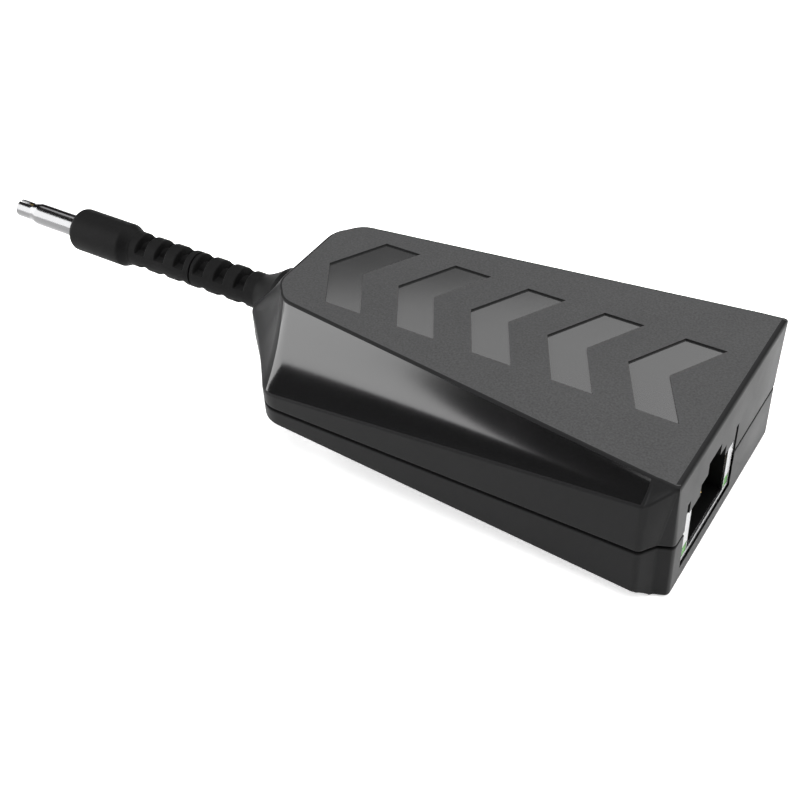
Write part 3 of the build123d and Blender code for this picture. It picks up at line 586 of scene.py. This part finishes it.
def corner_lean(outer, place):
    """How far the upper shell's jack corner leans outward, at the top, at one station of the outline."""
    low_y = HALF_W - JACK_CORNER[1]
    brow, side_x = np.array(brow_point()), END_X - JACK_CORNER[0]
    top = np.array((END_X - LEAN_INSET[0], flat_half_width(END_X) - LEAN_INSET[1]))
    across = np.array((0.0, top[1] - low_y))
    if place < CORNER_PLACES[0]:
        return across * max(0.0, (outer[1] - low_y / 2) / (low_y / 2))
    if place < CORNER_PLACES[1]:
        share = min(1.0, (END_X - outer[0]) / (END_X - brow[0]))
        return across * (1 - share) + (top - brow) * share
    return (top - brow) * max(0.0, min(1.0, (outer[0] - side_x) / (brow[0] - side_x)))


def leaned(section, lean):
    """Moves a section's points outward in step with their height above the parting line."""
    moved = []
    for x, y, z in section:
        share = max(0.0, min(1.0, (z - PARTING) / (TOP - PARTING)))
        moved.append((x + lean[0] * share, y + lean[1] * share, z))
    return moved


def loop_normals(points):
    """Outward plan normals of a closed anticlockwise loop."""
    points = np.array(points)
    tangent = np.roll(points, -1, axis=0) - np.roll(points, 1, axis=0)
    tangent = tangent / np.maximum(np.linalg.norm(tangent, axis=1, keepdims=True), 1e-9)
    return np.stack([tangent[:, 1], -tangent[:, 0]], axis=1)


def shell_skin(name, level):
    """The upper (level 1) or lower (level -1) shell: outer skin, groove edge and a hollow inside."""
    crease = CREASE_TOP if level > 0 else CREASE_LOW
    half = plan_stations()
    normals_out, normals_edge = (
        loop_normals([s[i] for s in half] + [s[i] * (1, -1) for s in half[1:-1]][::-1]) for i in (0, 1)
    )
    near = [skin_section(s, crease, level, n, e) for s, n, e in zip(half, normals_out, normals_edge)]
    if level > 0:
        near = [leaned(section, corner_lean(s[0], s[2])) for s, section in zip(half, near)]
    far = [[(x, -y, z) for x, y, z in section] for section in near[1:-1]][::-1]
    sections = near + far
    places = [s[2] for s in half] + [s[2] for s in half[1:-1]][::-1]
    count, size = len(sections), len(sections[0])
    scoop_row = len(LIP_LINE) + BAND_ROWS + CREASE_ROWS - 2
    brow_row = scoop_row + SCOOP_ROWS - 1
    edge_row = size - INNER_ROWS - 1
    faces, indices = [], []
    for k in range(count):
        after = (k + 1) % count
        for j in range(size):
            if j == edge_row:
                continue
            nxt = (j + 1) % size
            faces.append((k * size + j, after * size + j, after * size + nxt, k * size + nxt))
            place = (places[k] + places[after]) / 2
            # the end face below the brow takes the satin's painted-light copy
            if place < END_FACE_PLACE:
                indices.append(END_LIT_COPY if j < brow_row else SATIN)
            else:
                glossy = SCOOP_PLACES[0] < place < SCOOP_PLACES[1] and scoop_row <= j < brow_row
                indices.append(GLOSS if glossy else SATIN)
    faces.append(tuple(k * size + edge_row for k in range(count)))
    indices.append(TOP_TEXTURE)
    faces.append(tuple(k * size + edge_row + 1 for k in reversed(range(count))))
    indices.append(SATIN)
    return mesh_piece(name, [p for section in sections for p in section], faces, case_looks, indices)


def arrow_cutters():
    """The arrow recesses, which point at the tail."""
    cutters = []
    for k in range(ARROW_COUNT):
        tip = ARROW_TIP_X + k * ARROW_PITCH
        wing = tip + ARROW_BACK
        outline = [
            (tip, 0), (wing, -ARROW_HALF_H), (wing + ARROW_W, -ARROW_HALF_H),
            (tip + ARROW_W, 0), (wing + ARROW_W, ARROW_HALF_H), (wing, ARROW_HALF_H),
        ]
        cutters.append(prism_cutter(outline, TOP - ARROW_DEPTH, TOP + 1, case_looks, ARROW))
    return cutters


def port_cutters():
    """Opening of the jack: the wide part, the latch steps and the two slits above the shield's sides."""
    x0, x1 = END_X - PORT_CUT_DEPTH, END_X + 1
    half = JACK_HALF_W + PORT_SIDE_GAP
    spans = [(JACK_Y - half, JACK_Y + half, SHIELD_LOW.z - PORT_FLOOR_GAP, PORT_Z1)]
    for width, top in PORT_TOP_STEPS:
        spans.append((JACK_Y - width / 2, JACK_Y + width / 2, PORT_Z1 - 1, top))
    for side in (-1, 1):
        slit = JACK_Y + side * (half - PORT_SLIT_HALF)
        spans.append((slit - PORT_SLIT_HALF, slit + PORT_SLIT_HALF, PORT_Z1 - 1, SLIT_TOP))
    return [prism_cutter(box_outline(x0, x1, y0, y1), z0, z1, case_looks, SATIN)
            for y0, y1, z0, z1 in spans]


def screw_wells():
    """Round wells in the underside, down to the screws' heads."""
    return [prism_cutter(circle_outline(x, y, SCREW_HOLE_R), -1, SCREW_SEAT_Z, case_looks, SATIN)
            for x, y in SCREWS]


def upper_case():
    skin = shell_skin("upper_shell_skin", 1)
    cut_away(skin, arrow_cutters() + port_cutters())
    tidy_mesh(skin)
    weighted(skin)
    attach(skin, "case")
    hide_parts("upper_shell")


def lower_case():
    skin = shell_skin("lower_shell_skin", -1)
    cut_away(skin, port_cutters() + screw_wells())
    tidy_mesh(skin)
    weighted(skin)
    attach(skin, "case")
    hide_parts("lower_shell")


# ---------------------------------------------------------------- tail
SLOT_HIGHS = [SLOT_FIRST_X - k * SLOT_PITCH for k in range(SLOT_COUNT)]
SLOT_SPANS = [(high - SLOT_W, high) for high in SLOT_HIGHS]


def relief_depth(inside, full):
    """How far the sleeve's surface sinks at a distance inside a slot that is `full` deep there."""
    lip = min(SLOT_LIP, full / 2)
    toe = min(SLOT_TOE, full / 4)
    if inside <= -lip or full <= 0:
        return 0.0
    if inside <= 0:
        return lip - math.sqrt(max(0.0, lip ** 2 - (inside + lip) ** 2))
    if inside < SLOT_FACE:
        return lip + (full - toe - lip) * inside / SLOT_FACE
    if inside < SLOT_FACE + toe:
        t = (inside - SLOT_FACE) / toe
        return full - toe * (1 - math.sqrt(max(0.0, 1 - (1 - t) ** 2)))
    return full


def relief_columns():
    """Angles round the sleeve, closer together beside the webs that part the slots."""
    angles = set(np.round(np.linspace(0, 2 * math.pi, TAIL_SIDES + 1)[:-1], 4))
    for step in WEB_STEPS:
        tilt = math.asin((SLOT_WEB + step) / RELIEF_R)
        angles.update(round(a % (2 * math.pi), 4) for a in (tilt, -tilt, math.pi + tilt, math.pi - tilt))
    return sorted(angles)


def relief_rows(x0, x1):
    """Stations along the sleeve, closer together beside the slots' sides."""
    rows = set(np.round(np.linspace(x0, x1, 40), 4))
    for low, high in SLOT_SPANS:
        for step in SLOT_STEPS:
            rows.update((round(low + step, 4), round(high - step, 4)))
    ordered = sorted(x for x in rows if min(x0, x1) <= x <= max(x0, x1))
    kept = [ordered[0]]
    for x in ordered[1:]:
        if x - kept[-1] > LEAST_ROW_GAP:
            kept.append(x)
    kept[-1] = max(x0, x1)
    return kept


def relief_radius(x, angle):
    """Radius of the sleeve: slots cut from above and below leave the cable and a flat web beside it."""
    inside = max(min(x - low, high - x) for low, high in SLOT_SPANS)
    bottom = max(CORE_R + WEB_COVER, min(RELIEF_R, SLOT_WEB / max(abs(math.sin(angle)), 0.01)))
    return RELIEF_R - relief_depth(inside, RELIEF_R - bottom)


def turned_grid(name, rows, angles, radius_at):
    """A closed rubber body round the tail's axis: radius_at(x, angle) on a grid, capped at both ends."""
    count = len(angles)
    points = []
    for x in rows:
        for angle in angles:
            r = radius_at(x, angle)
            points.append((x, r * math.cos(angle), TAIL_Z + r * math.sin(angle)))
    faces = []
    for i in range(len(rows) - 1):
        for j in range(count):
            k = (j + 1) % count
            faces.append((i * count + j, i * count + k, (i + 1) * count + k, (i + 1) * count + j))
    faces.append(tuple(reversed(range(count))))
    faces.append(tuple((len(rows) - 1) * count + j for j in range(count)))
    piece = mesh_piece(name, points, faces, [finish_of["rubber"]])
    tidy_mesh(piece, 40.0, FINE_MERGE)
    return piece


def turned_profile(name, profile):
    """A closed rubber body with the same radius all round, from a list of (x, radius)."""
    xs, rs = zip(*sorted(profile))
    even = [2 * math.pi * k / TAIL_SIDES for k in range(TAIL_SIDES)]
    rows = sorted({round(x, 4) for x, _ in profile})
    return turned_grid(name, rows, even, lambda x, angle: float(np.interp(x, xs, rs)))


def flare_profile():
    """Concave flare from the case down to the sleeve, then the sleeve's first straight bit."""
    wide = (ROOT_HIGH.z - ROOT_LOW.z) / 2
    line = [(FLARE_X0 + (FLARE_X1 - FLARE_X0) * t, RELIEF_R + (wide - RELIEF_R) * (1 - t) ** FLARE_POWER)
            for t in np.linspace(0, 1, 28)]
    return [(FLARE_HIDDEN_X, wide)] + line + [(ROOT_LOW.x, RELIEF_R)]


def grip_profile():
    """A thin edge that laps over the sleeve, a cone, the straight grip and its rounded front edge."""
    front, back = GRIP_LOW.x, GRIP_HIGH.x
    points = [(back + GRIP_LAP, RELIEF_R - 0.03), (back + 0.24, RELIEF_R + 0.012)]
    points.append((back - 0.15, RELIEF_R + 0.02))
    for t in np.linspace(0, 1, 12):
        rise = 0.35 * t * t * (3 - 2 * t) + 0.65 * t
        radius = RELIEF_R + 0.03 + (GRIP_R - RELIEF_R - 0.03) * rise
        points.append((back - 0.2 - (GRIP_CONE - 0.2) * t, radius))
    points += [(x, GRIP_R) for x in np.linspace(back - GRIP_CONE - 0.3, front + GRIP_EDGE_R + 0.1, 14)]
    for angle in np.linspace(0, math.pi / 2, 9):
        x = front + GRIP_EDGE_R * (1 - math.sin(angle))
        points.append((x, GRIP_R - GRIP_EDGE_R * (1 - math.cos(angle))))
    return points


def tail_pieces():
    """The moulded tail: a root on the case, two slotted halves, and the grip on the plug."""
    root = turned_profile("tail_root", flare_profile())
    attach(root, "case")
    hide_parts("relief_root")
    angles = relief_columns()
    near = turned_grid("tail_relief_near", relief_rows(NEAR_LOW.x, NEAR_HIGH.x), angles, relief_radius)
    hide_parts("relief_near_half", "cable_near_half")
    far = turned_grid("tail_relief_far", relief_rows(FAR_LOW.x, FAR_HIGH.x), angles, relief_radius)
    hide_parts("relief_far_half", "cable_far_half")
    grip = turned_profile("plug_grip_body", grip_profile())
    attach(grip, "plug")
    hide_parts("plug_grip")
    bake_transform(near)
    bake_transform(far)


def barrel_profile():
    """Closed outline of the sleeve's wall as (x, radius): outside from root to tip, then back inside."""
    tip, root = SLEEVE_LOW.x, SLEEVE_HIGH.x
    bore, tip_bore = BARREL_R - BARREL_WALL, BARREL_TIP_R - BARREL_WALL
    cone_x, neck_x = BARREL_CONE_X
    hidden_x = GRIP_LOW.x + BARREL_HIDDEN
    profile = [(root, bore), (root, BARREL_ROOT_R), (hidden_x, BARREL_ROOT_R), (hidden_x, BARREL_R)]
    profile += [(x, BARREL_R) for x in np.linspace(GRIP_LOW.x, cone_x + 0.12, 14)]
    profile += [(cone_x - 0.06, BARREL_R - 0.02)]
    for t in (0.2, 0.5, 0.8):
        profile.append((cone_x + (neck_x - cone_x) * t, BARREL_R + (BARREL_TIP_R - BARREL_R) * t))
    profile += [(neck_x + 0.06, BARREL_TIP_R + 0.02), (neck_x - 0.12, BARREL_TIP_R)]
    profile += [(x, BARREL_TIP_R) for x in np.linspace(neck_x - 0.4, tip + BARREL_ROUND + 0.1, 6)]
    for angle in np.linspace(0, math.pi / 2, 7):
        x = tip + BARREL_ROUND * (1 - math.sin(angle))
        profile.append((x, BARREL_TIP_R - BARREL_ROUND * (1 - math.cos(angle))))
    profile += [(tip + 0.01, tip_bore + 0.04), (tip + 0.06, tip_bore)]
    return profile + [(neck_x, tip_bore), (cone_x, bore)]


def barrel():
    """Chromed sleeve that steps down to a narrower tip, with a slit above and below."""
    profile, count, tip = barrel_profile(), BARREL_SIDES, SLEEVE_LOW.x
    turns = [2 * math.pi * k / count for k in range(count)]
    points = [(x, r * math.cos(angle), TAIL_Z + r * math.sin(angle)) for x, r in profile for angle in turns]
    faces = []
    for i in range(len(profile)):
        nxt = (i + 1) % len(profile)
        for j in range(count):
            k = (j + 1) % count
            faces.append((i * count + j, nxt * count + j, nxt * count + k, i * count + k))
    sleeve = mesh_piece("plug_barrel", points, faces, [finish_of["plug_chrome"]])
    slit = box_outline(tip - 1, tip + SLIT_LEN, -SLIT_W / 2, SLIT_W / 2)
    tidy_mesh(sleeve, 30.0, FINE_MERGE)
    cut_away(sleeve, [prism_cutter(slit, TAIL_Z - 3, TAIL_Z + 3, [finish_of["plug_chrome"]], 0)])
    tidy_mesh(sleeve, 30.0, FINE_MERGE)
    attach(sleeve, "plug")
    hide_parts("plug_sleeve")


# ---------------------------------------------------------------- CAD nodes that stay
# width of the soft edge, by node
BEVELS = {"jack_shield": 0.08, "jack_housing": 0.06, "jack_light_pipes": 0.06, "circuit_board": 0.05,
          "lan_transformer": 0.3, "transformer_core": 0.2, "bridge_rectifiers": 0.15}


def finish_cad_nodes():
    """Gives every CAD node its slot's material, and the blocky ones a soft edge."""
    slot_of = {part["node"]: part["material_slot"] for part in frame["record"]["subparts"]}
    for name, node in frame["nodes"].items():
        node.data.materials.clear()
        node.data.materials.append(finish_of[slot_of[name]])
        if name in BEVELS:
            step = node.modifiers.new("soft_edges", "BEVEL")
            step.width, step.segments, step.limit_method = BEVELS[name] * MM, 2, "ANGLE"


case_looks = case_materials()
make_camera()
make_studio()
make_floor()
finish_cad_nodes()
upper_case()
lower_case()
tail_pieces()
barrel()
